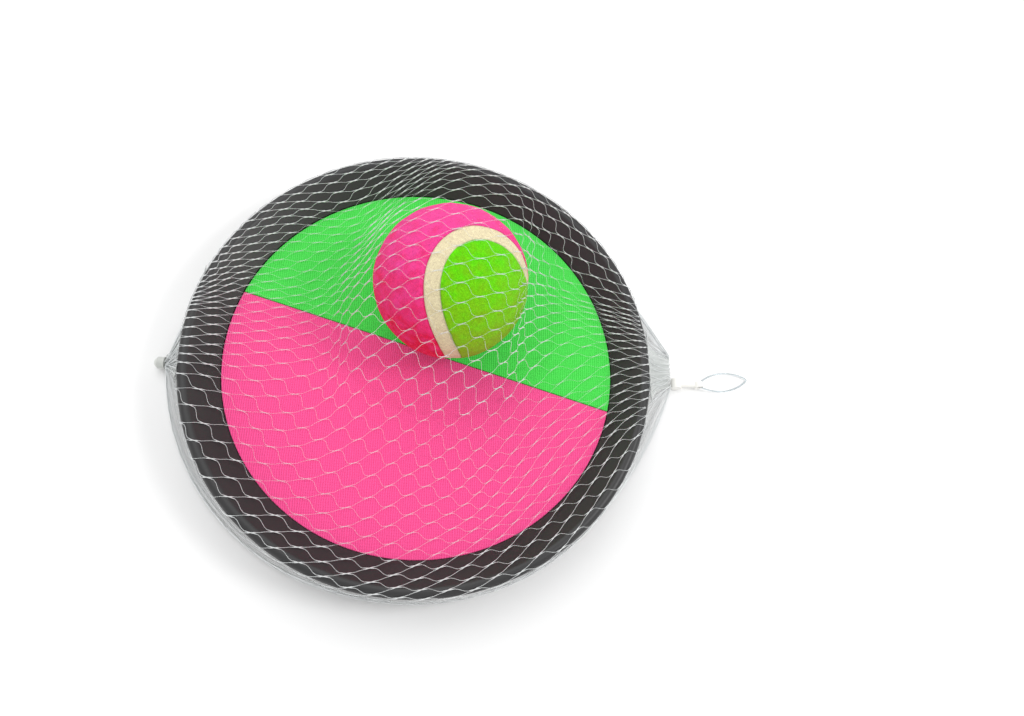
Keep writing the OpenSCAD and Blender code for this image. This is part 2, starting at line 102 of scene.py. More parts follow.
room = bpy.data.worlds.new("pale_room")
room.use_nodes = True
room.node_tree.nodes["Background"].inputs["Color"].default_value = (1, 1, 1, 1)
room.node_tree.nodes["Background"].inputs["Strength"].default_value = 0.85
bpy.context.scene.world = room
for lamp_name, lamp_at, lamp_size, lamp_power in (
        ("window", (-0.35, 0.62, 0.95), 1.3, 4.8),
        ("card", (0.62, -0.05, 0.74), 0.26, 2.4)):
    lamp = bpy.data.lights.new(lamp_name, "AREA")
    lamp.shape = "DISK"
    lamp.size = lamp_size
    lamp.energy = lamp_power
    lamp_stand = bpy.data.objects.new(lamp_name, lamp)
    lamp_stand.location = lamp_at
    lamp_stand.rotation_euler = (-Vector(lamp_at)).to_track_quat("-Z", "Y").to_euler()
    bpy.context.collection.objects.link(lamp_stand)

# The camera stands where the photograph was taken from, near side and above; its place
# and lens come from the outlines of the lip and of the fabric.
view_right = (0.99160519, 0.01476677, 0.12845654)
view_up = (-0.05999362, 0.93259368, 0.35590701)
view_back = (-0.11454216, -0.36062581, 0.92565065)
camera = bpy.data.objects.new("photo_camera", bpy.data.cameras.new("photo_camera"))
camera.data.sensor_width = 36
camera.data.lens = 775 / 1024 * 36
camera.data.clip_start = 0.01
camera.matrix_world = Matrix([
    [view_right[i], view_up[i], view_back[i], (0, -0.1152147, 0.3234379)[i]] for i in range(3)] + [[0, 0, 0, 1]])
bpy.context.collection.objects.link(camera)
bpy.context.scene.camera = camera
bpy.context.scene.view_settings.view_transform = "Standard"

# The dish: one shot of black plastic, fine grained by the mould, with a polished lip.
# Everything else is fixed to it or packed round it.
mould_grain = bpy.data.node_groups.new("mould_grain", "ShaderNodeTree")
for name, kind, way in (("Where", "NodeSocketVector", "INPUT"), ("Per Metre", "NodeSocketFloat", "INPUT"),
                        ("Grain", "NodeSocketFloat", "OUTPUT"), ("Cloud", "NodeSocketFloat", "OUTPUT")):
    mould_grain.interface.new_socket(name, in_out=way, socket_type=kind)
grain_in = add_node(mould_grain, "NodeGroupInput")
grain_fine = add_node(mould_grain, "ShaderNodeTexNoise", Vector=grain_in.outputs["Where"],
                      Scale=grain_in.outputs["Per Metre"], Detail=2.0)
grain_wide = add_node(mould_grain, "ShaderNodeTexNoise", Vector=grain_in.outputs["Where"], Scale=38.0, Detail=3.0)
add_node(mould_grain, "NodeGroupOutput", Grain=grain_fine.outputs["Fac"], Cloud=grain_wide.outputs["Fac"])


def moulded(name, dark, light, smooth, rough, per_metre, depth):
    """A moulded plastic: cloudy between two colours and two gloss levels, finely grained."""
    finish, tree, shell = start_finish(name, rough)
    where = add_node(tree, "ShaderNodeTexCoord").outputs["Object"]
    grain = add_node(tree, "ShaderNodeGroup", {"node_tree": mould_grain}, Where=where, Per__Metre=per_metre)
    tree.links.new(blend_colours(tree, grain.outputs["Cloud"], dark, light), shell.inputs["Base Color"])
    gloss = add_node(tree, "ShaderNodeMapRange", None, Value=grain.outputs["Grain"], To__Min=smooth, To__Max=rough)
    tree.links.new(gloss.outputs[0], shell.inputs["Roughness"])
    bump = add_node(tree, "ShaderNodeBump", None, Strength=0.5, Distance=depth, Height=grain.outputs["Grain"])
    tree.links.new(bump.outputs[0], shell.inputs["Normal"])
    return finish, tree, shell


def dress(node, finish):
    """Gives a CAD node its finish."""
    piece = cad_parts[node]
    if piece.material_slots:
        for place in piece.material_slots:
            place.material = finish
    else:
        piece.data.materials.append(finish)


black_plastic = moulded("black_plastic", paint("#222223"), paint("#2d2c2d"), 0.36, 0.48, 2600.0, 0.00006)[0]
dress("dish", black_plastic)

# The glue: a thin clear coat sprayed on the dish's floor, which holds the fabric down.
# None of it shows, apart from a hair line between the two colours.
glue_film = moulded("glue_film", paint("#b9ad86"), paint("#d8d2b4"), 0.25, 0.5, 900.0, 0.00005)[0]
dress("glue_film", glue_film)

# The two faces: short loop pile knitted in ribs, cut to meet on a slanting line and glued
# flat in the dish. The ball's hooks catch in the pile.
face_r, face_low, face_high = 0.081, 0.0148, 0.0161
split_turn, split_off, split_gap = math.radians(-16), 0.0053, 0.0002
split_across = Vector((-math.sin(split_turn), math.cos(split_turn), 0))


def cut_face(name, side):
    bpy.ops.object.select_all(action="DESELECT")
    bpy.ops.mesh.primitive_circle_add(vertices=256, radius=face_r, fill_type="NGON", location=(0, 0, face_low))
    cloth = bpy.context.object
    cloth.name = name
    bpy.ops.object.transform_apply(location=True)
    bpy.ops.object.mode_set(mode="EDIT")
    bpy.ops.mesh.select_all(action="SELECT")
    bpy.ops.mesh.bisect(plane_co=split_across * (split_off + side * split_gap / 2),
                        plane_no=split_across * side, clear_inner=True)
    bpy.ops.mesh.select_all(action="SELECT")
    bpy.ops.mesh.extrude_region_move(TRANSFORM_OT_translate={"value": (0, 0, face_high - face_low)})
    bpy.ops.mesh.select_all(action="SELECT")
    bpy.ops.mesh.normals_make_consistent(inside=False)
    bpy.ops.mesh.select_all(action="DESELECT")
    bpy.ops.object.mode_set(mode="OBJECT")
    for edge in cloth.data.edges:
        edge.select = all(abs(cloth.data.vertices[v].co.z - face_high) < 1e-6 for v in edge.vertices)
    bpy.ops.object.mode_set(mode="EDIT")
    bpy.ops.mesh.select_mode(type="EDGE")
    bpy.ops.mesh.bevel(offset=0.0004, segments=3, affect="EDGES")
    bpy.ops.object.mode_set(mode="OBJECT")
    bpy.ops.object.shade_smooth_by_angle(angle=math.radians(50))
    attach(cloth, "paddle_and_bag")
    return cloth


loop_pile = bpy.data.node_groups.new("loop_pile", "ShaderNodeTree")
for name, kind, way in (("Where", "NodeSocketVector", "INPUT"), ("Rib", "NodeSocketFloat", "INPUT"),
                        ("Course", "NodeSocketFloat", "INPUT"), ("Fuzz", "NodeSocketFloat", "INPUT"),
                        ("Height", "NodeSocketFloat", "OUTPUT"), ("Shade", "NodeSocketFloat", "OUTPUT")):
    loop_pile.interface.new_socket(name, in_out=way, socket_type=kind)
pile_in = add_node(loop_pile, "NodeGroupInput")
pile_fuzz = add_node(loop_pile, "ShaderNodeTexNoise", Vector=pile_in.outputs["Where"],
                     Scale=pile_in.outputs["Fuzz"], Detail=3.0, Roughness=0.65)
pile_sway = add_node(loop_pile, "ShaderNodeTexNoise", Vector=pile_in.outputs["Where"], Scale=260.0, Detail=1.0)
pile_axes = add_node(loop_pile, "ShaderNodeSeparateXYZ", Vector=pile_in.outputs["Where"])


def pile_wave(axis, per_metre, sway):
    """A row of loops: a sine along one axis, swayed a little so that no row is ruled."""
    turns = add_node(loop_pile, "ShaderNodeMath", {"operation": "MULTIPLY"}, _0=pile_axes.outputs[axis], _1=per_metre)
    swayed = add_node(loop_pile, "ShaderNodeMath", {"operation": "MULTIPLY_ADD"},
                      _0=pile_sway.outputs["Fac"], _1=sway, _2=turns.outputs[0])
    wave = add_node(loop_pile, "ShaderNodeMath", {"operation": "SINE"}, _0=swayed.outputs[0])
    return add_node(loop_pile, "ShaderNodeMath", {"operation": "MULTIPLY_ADD"}, _0=wave.outputs[0], _1=0.5, _2=0.5)


pile_ribs = pile_wave("X", pile_in.outputs["Rib"], 5.0)
pile_courses = pile_wave("Y", pile_in.outputs["Course"], 5.0)
pile_loops = add_node(loop_pile, "ShaderNodeMath", {"operation": "MULTIPLY_ADD"},
                      _0=pile_courses.outputs[0], _1=0.22, _2=pile_ribs.outputs[0])
pile_height = add_node(loop_pile, "ShaderNodeMath", {"operation": "MULTIPLY_ADD"},
                       _0=pile_fuzz.outputs["Fac"], _1=1.1, _2=pile_loops.outputs[0])
# Shade is the pile's height read as painted shade: low in the hollows between loops, high on their tops.
pile_shade = add_node(loop_pile, "ShaderNodeMapRange", None, Value=pile_height.outputs[0],
                      From__Min=0.5, From__Max=2.1)
add_node(loop_pile, "NodeGroupOutput", Height=pile_height.outputs[0], Shade=pile_shade.outputs[0])


def knitted(name, deep, light, rib, course, fuzz, depth, turn=0.0, sheen=0.25):
    """Looped or woven cloth: ribs and courses of a pitch in metres, fuzzed by loose fibres."""
    finish, tree, shell = start_finish(name, 0.92)
    where = add_node(tree, "ShaderNodeTexCoord").outputs["Object"]
    turned = add_node(tree, "ShaderNodeMapping", None, Vector=where, Rotation=(0, 0, turn))
    pile = add_node(tree, "ShaderNodeGroup", {"node_tree": loop_pile}, Where=turned.outputs[0],
                    Rib=2 * math.pi / rib, Course=2 * math.pi / course, Fuzz=fuzz)
    # The colour follows the pile's height, deep in the hollows between loops and light on their tops: painted shade.
    tree.links.new(blend_colours(tree, pile.outputs["Shade"], deep, light), shell.inputs["Base Color"])
    bump = add_node(tree, "ShaderNodeBump", None, Strength=0.6, Distance=depth, Height=pile.outputs["Height"])
    tree.links.new(bump.outputs[0], shell.inputs["Normal"])
    shell.inputs["Sheen Weight"].default_value = sheen
    shell.inputs["Sheen Roughness"].default_value = 0.5
    shell.inputs["Specular IOR Level"].default_value = 0.2
    return finish


pile_rib, pile_course, pile_fuzz_per_m, pile_depth = 0.0009, 0.0011, 1500.0, 0.00025
face_pink = cut_face("pink_face", -1)
face_pink.data.materials.append(
    knitted("pile_pink", paint("#ee4586"), paint("#ff5ea3"), pile_rib, pile_course, pile_fuzz_per_m, pile_depth))
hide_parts("face_pink")
face_green = cut_face("green_face", 1)
face_green.data.materials.append(
    knitted("pile_green", paint("#3bce43"), paint("#5aea60"), pile_rib, pile_course, pile_fuzz_per_m, pile_depth))
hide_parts("face_green")

# The hand strap: nylon webbing sewn round the left bar on the dish's back, led under the
# palm and round the right bar, and closed on itself by a hook tape and a loop tape.
strap_w, strap_t = 0.025, 0.0014


def strap_turn(x, z, radius, first, last):
    angles = np.radians(np.linspace(first, last, 15))
    return [(x + radius * math.cos(a), z + radius * math.sin(a)) for a in angles]


strap_route = (
    [(-22.75, 5.0), (-30, 5.0), (-38, 5.0)] + strap_turn(-46.75, 7.35, 2.35, -90, -270)
    + [(-44.5, 9.7), (-42.6, 8.9), (-41.0, 7.6), (-39.4, 6.9), (-37, 6.6), (-20, 6.6), (0, 6.6), (20, 6.6), (37, 6.6),
       (39.4, 6.9), (41.0, 7.6), (42.6, 8.9), (44.5, 9.7)]
    + strap_turn(46.75, 7.35, 2.35, 90, -90) + [(43, 4.75), (41, 4.1), (39, 3.6), (30, 3.6), (15, 3.6), (2, 3.6)])
strap_line = bpy.data.meshes.new("hand_strap_webbing")
strap_line.from_pydata([(x / 1000, -strap_w / 2, z / 1000) for x, z in strap_route],
                       [(i, i + 1) for i in range(len(strap_route) - 1)], [])
strap = bpy.data.objects.new("hand_strap_webbing", strap_line)
bpy.context.collection.objects.link(strap)


def make_active(piece):
    bpy.ops.object.select_all(action="DESELECT")
    piece.select_set(True)
    bpy.context.view_layer.objects.active = piece


def apply_modifier(piece, kind, **settings):
    make_active(piece)
    modifier = piece.modifiers.new(kind.lower(), kind)
    for key, value in settings.items():
        setattr(modifier, key, value)
    bpy.ops.object.modifier_apply(modifier=modifier.name)


make_active(strap)
bpy.ops.object.mode_set(mode="EDIT")
bpy.ops.mesh.select_all(action="SELECT")
bpy.ops.mesh.extrude_region_move(TRANSFORM_OT_translate={"value": (0, strap_w, 0)})
bpy.ops.mesh.select_all(action="SELECT")
bpy.ops.mesh.subdivide(number_cuts=1)
bpy.ops.object.mode_set(mode="OBJECT")
apply_modifier(strap, "SOLIDIFY", thickness=strap_t, offset=0.0)
apply_modifier(strap, "BEVEL", width=0.0004, segments=2, limit_method="ANGLE", angle_limit=math.radians(60))
bpy.ops.object.shade_smooth_by_angle(angle=math.radians(40))
strap.data.materials.append(
    knitted("webbing", paint("#1c1c1f"), paint("#3d3d43"), 0.0016, 0.0011, 900.0, 0.0003, turn=0.5))
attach(strap, "paddle_and_bag")
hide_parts("hand_strap")

# The two tapes: a nylon hook tape and a loop tape, cut to one length and sewn on the two
# ends of the strap, so that the strap holds itself closed where they meet.
tape_l, tape_t, tape_x = 0.028, 0.0008, 0.022


def tape(name, low, finish):
    """A tape sewn to the strap: a flat ribbon with soft cut edges."""
    bpy.ops.object.select_all(action="DESELECT")
    bpy.ops.mesh.primitive_cube_add(size=1, location=(tape_x, 0, low + tape_t / 2), scale=(tape_l, strap_w, tape_t))
    ribbon = bpy.context.object
    ribbon.name = name
    bpy.ops.object.transform_apply(location=True, scale=True)
    apply_modifier(ribbon, "BEVEL", width=0.0002, segments=2)
    bpy.ops.object.shade_smooth_by_angle(angle=math.radians(40))
    ribbon.data.materials.append(finish)
    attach(ribbon, "paddle_and_bag")
    return ribbon


hook_cloth = knitted("hook_tape", paint("#0f0f10"), paint("#2c2c2e"), 0.0014, 0.0014, 700.0, 0.0005, sheen=0.0)
hook_ribbon = tape("hook_ribbon", 0.0043, hook_cloth)
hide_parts("strap_hook_tape")
loop_cloth = knitted("loop_tape", paint("#242428"), paint("#4a4a51"), 0.0008, 0.0009, 1600.0, 0.0004)
loop_ribbon = tape("loop_ribbon", 0.0051, loop_cloth)
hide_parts("strap_loop_tape")

# The stitching: two rows of dark thread across each end of the sewn turn of the strap,
# and one round each tape. Each stitch is a short loop of thread that sinks in at its ends.
bpy.ops.object.select_all(action="DESELECT")
bpy.ops.mesh.primitive_cylinder_add(vertices=8, radius=0.00022, depth=0.0019, rotation=(0, math.pi / 2, 0))
stitch = bpy.context.object
bpy.ops.object.transform_apply(rotation=True)
bpy.ops.object.mode_set(mode="EDIT")
bpy.ops.mesh.select_all(action="SELECT")
bpy.ops.mesh.bevel(offset=0.00012, segments=1, affect="EDGES")
bpy.ops.object.mode_set(mode="OBJECT")
stitch_pitch, turn_high, tape_high = 0.0026, 0.0044, 0.0030
stitch_places = []
for x in (-0.0245, -0.0400):
    stitch_places += [(x, y, turn_high, math.pi / 2) for y in np.arange(-0.0105, 0.0106, stitch_pitch)]
for y in (-0.0105, 0.0105):
    stitch_places += [(x, y, turn_high, 0.0) for x in np.arange(-0.0385, -0.0255, stitch_pitch)]
    stitch_places += [(x, y, tape_high, 0.0) for x in np.arange(0.0095, 0.0350, stitch_pitch)]
for x in (0.0095, 0.0345):
    stitch_places += [(x, y, tape_high, math.pi / 2) for y in np.arange(-0.0079, 0.0080, stitch_pitch)]
stitch_row = []
for x, y, z, turn in stitch_places:
    one = stitch.copy()
    one.data = stitch.data.copy()
    one.data.transform(Matrix.Translation((x, y, z)) @ Matrix.Rotation(turn, 4, "Z"))
    bpy.context.collection.objects.link(one)
    stitch_row.append(one)
bpy.data.objects.remove(stitch)
bpy.ops.object.select_all(action="DESELECT")
for one in stitch_row:
    one.select_set(True)
bpy.context.view_layer.objects.active = stitch_row[0]
bpy.ops.object.join()
strap_stitches = bpy.context.object
strap_stitches.name = "strap_stitches"
bpy.ops.object.shade_smooth_by_angle(angle=math.radians(60))
strap_stitches.data.materials.append(
    knitted("thread", paint("#55555c"), paint("#77777f"), 0.0003, 0.0005, 2500.0, 0.0001))
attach(strap_stitches, "paddle_and_bag")

# The ball's core: two half shells of grey rubber, moulded and cemented together to a
# hollow ball. It is inside the felt, which is cemented on it.
core_rubber = moulded("core_rubber", paint("#7a7468"), paint("#958f82"), 0.6, 0.85, 1500.0, 0.0001)[0]
dress("ball_core_lower", core_rubber)
dress("ball_core_upper", core_rubber)

# The felt: two dog bone panels, one hot pink and one lime, stretched and cemented on the
# core. The felt is napped, so its edges roll down to the seam and fibres stand off it.
ball_at = Vector((0.0095, 0.0233, 0.047))
ball_r, felt_t, seam_w, seam_sink, seam_wave = 0.0306, 0.0021, 0.0063, 0.0004, 0.235
ball_turn = (Matrix.Rotation(math.radians(-97), 4, "Z") @ Matrix.Rotation(math.radians(-25), 4, "Y")
             @ Matrix.Rotation(math.radians(26), 4, "X"))


def seam_at(t):
    """The wave of the seam on a ball of radius one, t in degrees."""
    t = np.radians(np.asarray(t, float))
    a = 1 - seam_wave
    return np.stack([a * np.cos(t) + seam_wave * np.cos(3 * t), a * np.sin(t) - seam_wave * np.sin(3 * t),
                     2 * math.sqrt(a * seam_wave) * np.sin(2 * t)], -1)


def beside_seam(t, off):
    """A line beside the seam, off metres from it along the ball."""
    t = np.asarray(t, float)
    across = np.cross(seam_at(t + 1) - seam_at(t - 1), seam_at(t))
    across /= np.linalg.norm(across, axis=-1, keepdims=True)
    w = np.asarray(off, float)[..., None] / ball_r
    return seam_at(t) * np.cos(w) + across * np.sin(w)


felt_seed = np.random.default_rng(7)
felt_lump_ways = felt_seed.normal(size=(40, 3)) * 420
felt_lump_starts = felt_seed.uniform(0, 2 * np.pi, 40)


def felt_lumps(points):
    """The unevenness of napped felt at points in metres, about -1 to 1."""
    return np.sin(points @ felt_lump_ways.T + felt_lump_starts).sum(-1) / 6.0


def felt_panel(name, second):
    bpy.ops.object.select_all(action="DESELECT")
    bpy.ops.mesh.primitive_grid_add(x_subdivisions=48, y_subdivisions=150, size=1)
    panel = bpy.context.object
    panel.name = name
    flat = np.array([v.co[:] for v in panel.data.vertices])
    across, along = flat[:, 0] * 2, flat[:, 1] * 2
    t = -45 + 90 * (1 - np.abs(along)) ** 1.7
    edge = beside_seam(np.maximum(t, -43.5), np.full(len(t), -seam_w / 2))
    half = (edge[:, 0] + edge[:, 1]) / math.sqrt(2)
    middle = edge - half[:, None] * np.array([1, 1, 0]) / math.sqrt(2)
    middle /= np.linalg.norm(middle, axis=1, keepdims=True)
    middle[along > 0, :2] *= -1
    w = half * across
    out = w[:, None] * np.array([1, 1, 0]) / math.sqrt(2) + np.sqrt(1 - w * w)[:, None] * middle
    rim = beside_seam(np.linspace(-45, 315, 1441), np.full(1441, -seam_w / 2)) * ball_r
    rim = np.concatenate([rim[:361], rim[720:1081]])
    rim_off = np.sqrt(((out[:, None, :] * ball_r - rim[None]) ** 2).sum(-1).min(1))
    height = ball_r - 0.00055 * np.exp(-(rim_off / 0.0006) ** 2) + 0.00010 * felt_lumps(out * ball_r)
    place = out * height[:, None]
    if second:
        place = np.stack([-place[:, 1], place[:, 0], -place[:, 2]], -1)
    turn = np.array(ball_turn.to_3x3())
    place = place @ turn.T + np.array(ball_at)
    panel.data.vertices.foreach_set("co", place.ravel())
    panel.data.update()
    make_active(panel)
    bpy.ops.object.mode_set(mode="EDIT")
    bpy.ops.mesh.select_all(action="SELECT")
    bpy.ops.mesh.remove_doubles(threshold=0.00001)
    bpy.ops.mesh.normals_make_consistent(inside=False)
    bpy.ops.object.mode_set(mode="OBJECT")
    if sum((f.center - ball_at).dot(f.normal) for f in panel.data.polygons) < 0:
        panel.data.flip_normals()
    apply_modifier(panel, "SOLIDIFY", thickness=felt_t, offset=-1.0)
    bpy.ops.object.shade_smooth()
    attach(panel, "ball")
    return panel


fibre_fleck = bpy.data.node_groups.new("fibre_fleck", "ShaderNodeTree")
for name, kind, way in (("Where", "NodeSocketVector", "INPUT"), ("Fibre", "NodeSocketFloat", "INPUT"),
                        ("Height", "NodeSocketFloat", "OUTPUT"), ("Fleck", "NodeSocketFloat", "OUTPUT"),
                        ("Patch", "NodeSocketFloat", "OUTPUT")):
    fibre_fleck.interface.new_socket(name, in_out=way, socket_type=kind)
fleck_in = add_node(fibre_fleck, "NodeGroupInput")
fleck_fine = add_node(fibre_fleck, "ShaderNodeTexNoise", Vector=fleck_in.outputs["Where"],
                      Scale=fleck_in.outputs["Fibre"], Detail=4.0, Roughness=0.7, Distortion=1.6)
fleck_wide = add_node(fibre_fleck, "ShaderNodeTexNoise", Vector=fleck_in.outputs["Where"], Scale=240.0, Detail=2.0)
fleck_sharp = add_node(fibre_fleck, "ShaderNodeMapRange", None, Value=fleck_fine.outputs["Fac"],
                       From__Min=0.33, From__Max=0.68)
add_node(fibre_fleck, "NodeGroupOutput", Height=fleck_fine.outputs["Fac"], Fleck=fleck_sharp.outputs[0],
         Patch=fleck_wide.outputs["Fac"])


def felted(name, deep, light, painted_light_tint, fibre, depth, sheen):
    """Matted fibre: flecked between a deep and a light colour, and shifted towards a third colour high up and far
    off, which is painted light, mixed with random patches.
    """
    finish, tree, shell = start_finish(name, 0.95)
    where = add_node(tree, "ShaderNodeTexCoord").outputs["Object"]
    fleck = add_node(tree, "ShaderNodeGroup", {"node_tree": fibre_fleck}, Where=where, Fibre=fibre)
    flecked = blend_colours(tree, fleck.outputs["Patch"], deep, light)
    axes = add_node(tree, "ShaderNodeSeparateXYZ", Vector=where)
    # The share of the third colour grows with height and towards the far side: painted light on the ball's lit top
    # and back, mixed with random patches.
    high = add_node(tree, "ShaderNodeMath", {"operation": "MULTIPLY_ADD"},
                    _0=axes.outputs["Z"], _1=15.5, _2=fleck.outputs["Patch"])
    painted_light_rise = add_node(tree, "ShaderNodeMath", {"operation": "MULTIPLY_ADD"},
                    _0=axes.outputs["Y"], _1=9.0, _2=high.outputs[0])
    share = add_node(tree, "ShaderNodeMapRange", None, Value=painted_light_rise.outputs[0],
                     From__Min=1.12, From__Max=1.95, To__Max=0.9)
    fibres = blend_colours(tree, fleck.outputs["Fleck"], (0.76, 0.72, 0.74, 1), (1.2, 1.24, 1.22, 1))
    toned = add_node(tree, "ShaderNodeMix", {"data_type": "RGBA", "blend_type": "MULTIPLY"}, _0=1.0, _7=fibres)
    tree.links.new(blend_colours(tree, share.outputs[0], flecked, painted_light_tint), toned.inputs[6])
    tree.links.new(toned.outputs[2], shell.inputs["Base Color"])
    bump = add_node(tree, "ShaderNodeBump", None, Strength=0.8, Distance=depth, Height=fleck.outputs["Height"])
    tree.links.new(bump.outputs[0], shell.inputs["Normal"])
    shell.inputs["Sheen Weight"].default_value = sheen
    shell.inputs["Sheen Roughness"].default_value = 0.4
    shell.inputs["Specular IOR Level"].default_value = 0.15
    return finish


# Each felt's third colour is its painted light, which it takes on high up and far off.
felt_pink = felt_panel("pink_felt", False)
felt_pink_finish = felted("felt_pink", paint("#f0083e"), paint("#ff2062"), paint("#ff4ea6"), 1300.0, 0.0008, 0.06)
felt_pink.data.materials.append(felt_pink_finish)
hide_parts("ball_felt_pink")
felt_green = felt_panel("lime_felt", True)
felt_green_finish = felted("felt_green", paint("#86ac10"), paint("#a8d61e"), paint("#5ee404"), 1300.0, 0.0008, 0.06)
felt_green.data.materials.append(felt_green_finish)
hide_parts("ball_felt_green")

# The seam: a band of cream rubber cement run into the groove between the panels and
# cured there, a little below the felt.
bpy.ops.object.select_all(action="DESELECT")
bpy.ops.mesh.primitive_cylinder_add(vertices=360, radius=1, depth=2, end_fill_type="NOTHING")
seam_band = bpy.context.object
seam_band.name = "seam_band"
bpy.ops.object.mode_set(mode="EDIT")
bpy.ops.mesh.select_all(action="DESELECT")
bpy.ops.object.mode_set(mode="OBJECT")
for edge in seam_band.data.edges:
    ends = [seam_band.data.vertices[v].co.z for v in edge.vertices]
    edge.select = abs(ends[0] - ends[1]) > 1
bpy.ops.object.mode_set(mode="EDIT")
bpy.ops.mesh.select_mode(type="EDGE")
bpy.ops.mesh.subdivide(number_cuts=7)
bpy.ops.object.mode_set(mode="OBJECT")
band_flat = np.array([v.co[:] for v in seam_band.data.vertices])
band_t = np.degrees(np.arctan2(band_flat[:, 1], band_flat[:, 0]))
band_out = beside_seam(band_t, band_flat[:, 2] * (seam_w / 2 - 0.00005))
band_high = ball_r - seam_sink + 0.00022 * np.abs(band_flat[:, 2]) ** 3 + 0.00006 * felt_lumps(band_out * ball_r)
band_place = (band_out * band_high[:, None]) @ np.array(ball_turn.to_3x3()).T + np.array(ball_at)
seam_band.data.vertices.foreach_set("co", band_place.ravel())
seam_band.data.update()
make_active(seam_band)
bpy.ops.object.mode_set(mode="EDIT")
bpy.ops.mesh.select_all(action="SELECT")
bpy.ops.mesh.normals_make_consistent(inside=False)
bpy.ops.object.mode_set(mode="OBJECT")
if sum((f.center - ball_at).dot(f.normal) for f in seam_band.data.polygons) < 0:
    seam_band.data.flip_normals()
apply_modifier(seam_band, "SOLIDIFY", thickness=0.0015, offset=-1.0)
bpy.ops.object.shade_smooth()
# The cement's third colour is painted light too, which it takes on high up and far off.
seam_band.data.materials.append(
    felted("seam_cream", paint("#cfc198"), paint("#ecdfba"), paint("#e4d7b2"), 1100.0, 0.0003, 0.05))
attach(seam_band, "ball")
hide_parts("ball_seam")

# The net bag: a tube of white plastic net, extruded as two sets of strands that run side
# by side at each bond. It is pulled over the ball and the lip, and lies slack on the fabric.
net_ball, net_ball_r, net_leaves = np.array([9.5, 23.3, 47.0]), 31.0, 27.5
strand_r, bond_l, net_bed, lip_r, under_high = 0.14, 2.2, 16.8, 95.2, 0.34
tail_turn, tail_reach, tail_high = 181, 106.5, 2.9
tab_turn, tab_middle, tab_half, tab_x, tab_y, tab_high = 2, 2, 26, 112.4, 7.2, 2.6
seen_from = np.array([0.0, -115.2, 323.4])
# Every seventh row of bonds from the near side to the far side, and in it the place of every
# third bond from the seal to the tab, as seen from the camera against the fabric's plane.
bond_rows = np.array([
    [(-102, -112), (-81, -114), (-58, -117), (-34, -118), (-10, -117), (15, -114),
     (39, -109), (63, -101), (87, -93), (109, -85), (132, -77), (154, -70)],
    [(-109, -97), (-87, -101), (-64, -105), (-40, -108), (-15, -109), (12, -106),
     (38, -99), (62, -90), (85, -78), (107, -68), (129, -59), (151, -52)],
    [(-116, -80), (-95, -85), (-71, -91), (-46, -96), (-20, -100), (7, -97),
     (35, -90), (60, -77), (81, -62), (102, -48), (123, -38), (146, -32)],
    [(-123, -58), (-101, -63), (-77, -71), (-51, -78), (-24, -84), (2, -83),
     (27, -75), (49, -62), (71, -45), (91, -28), (115, -19), (141, -15)],
    [(-125, -32), (-103, -36), (-79, -45), (-52, -56), (-26, -62), (-2, -60),
     (20, -59), (38, -51), (60, -32), (87, -14), (114, -7), (138, -4)],
    [(-121, -10), (-96, -11), (-69, -22), (-46, -31), (-24, -30), (-4, -30),
     (13, -32), (30, -31), (52, -17), (82, -1), (109, 2), (131, 3)],
    [(-119, 2), (-95, 3), (-66, 0), (-40, -2), (-29, 4), (-6, 9),
     (16, 8), (35, 7), (46, 8), (69, 14), (96, 13), (119, 10)],
    [(-117, 13), (-96, 17), (-69, 16), (-43, 19), (-30, 31), (-15, 42),
     (14, 43), (39, 37), (45, 31), (64, 28), (90, 23), (110, 17)],
    [(-112, 21), (-95, 24), (-75, 30), (-48, 32), (-31, 46), (-16, 64),
     (11, 73), (40, 69), (48, 53), (62, 40), (89, 31), (108, 25)],
    [(-107, 30), (-94, 33), (-81, 40), (-56, 48), (-32, 58), (-13, 79),
     (10, 93), (37, 91), (56, 78), (73, 60), (90, 45), (109, 38)],
    [(-109, 41), (-95, 45), (-83, 52), (-62, 63), (-37, 70), (-16, 88),
     (5, 101), (30, 102), (54, 93), (74, 80), (93, 68), (112, 59)],
    [(-116, 54), (-101, 59), (-86, 66), (-68, 75), (-46, 86), (-23, 97),
     (0, 106), (24, 108), (48, 104), (70, 96), (91, 87), (112, 80)],
    [(-123, 69), (-106, 75), (-90, 81), (-71, 90), (-51, 98), (-29, 107),
     (-5, 112), (19, 115), (42, 113), (66, 109), (88, 103), (111, 98)]], float)


def between(lines, at):
    """Values between evenly spaced lines, along a smooth curve through them."""
    line = np.clip(np.floor(at).astype(int), 0, len(lines) - 2)
    h = (at - line).reshape(-1, 1, 1)
    more = np.concatenate([2 * lines[:1] - lines[1:2], lines, 2 * lines[-1:] - lines[-2:-1]])
    a, b, c, d = more[line], more[line + 1], more[line + 2], more[line + 3]
    return b + 0.5 * h * (c - a + h * (2 * a - 5 * b + 4 * c - d + h * (3 * (b - c) + d - a)))


def net_height(x, y):
    """Height of the net: over the ball, down its sides to the fabric, and up the rim to the lip."""
    off_ball = np.hypot(x - net_ball[0], y - net_ball[1])
    steep = 2.2 - 0.8 * np.clip((y - net_ball[1]) / np.maximum(off_ball, 1e-6), 0, 1)
    cap = np.where(off_ball < net_leaves, net_ball[2] + np.sqrt(np.maximum(0, net_ball_r ** 2 - off_ball ** 2)),
                   net_ball[2] + math.sqrt(net_ball_r ** 2 - net_leaves ** 2) - (off_ball - net_leaves) * steep)
    bed = np.interp(np.hypot(x, y), [0, 74, 81, 86, 91.6, 93.5, lip_r],
                    [net_bed, net_bed, 18.3, 21.6, 25.8, 26.4, 26.0])
    return 0.5 * (cap + bed + np.sqrt((cap - bed) ** 2 + 1.0)) - 0.1


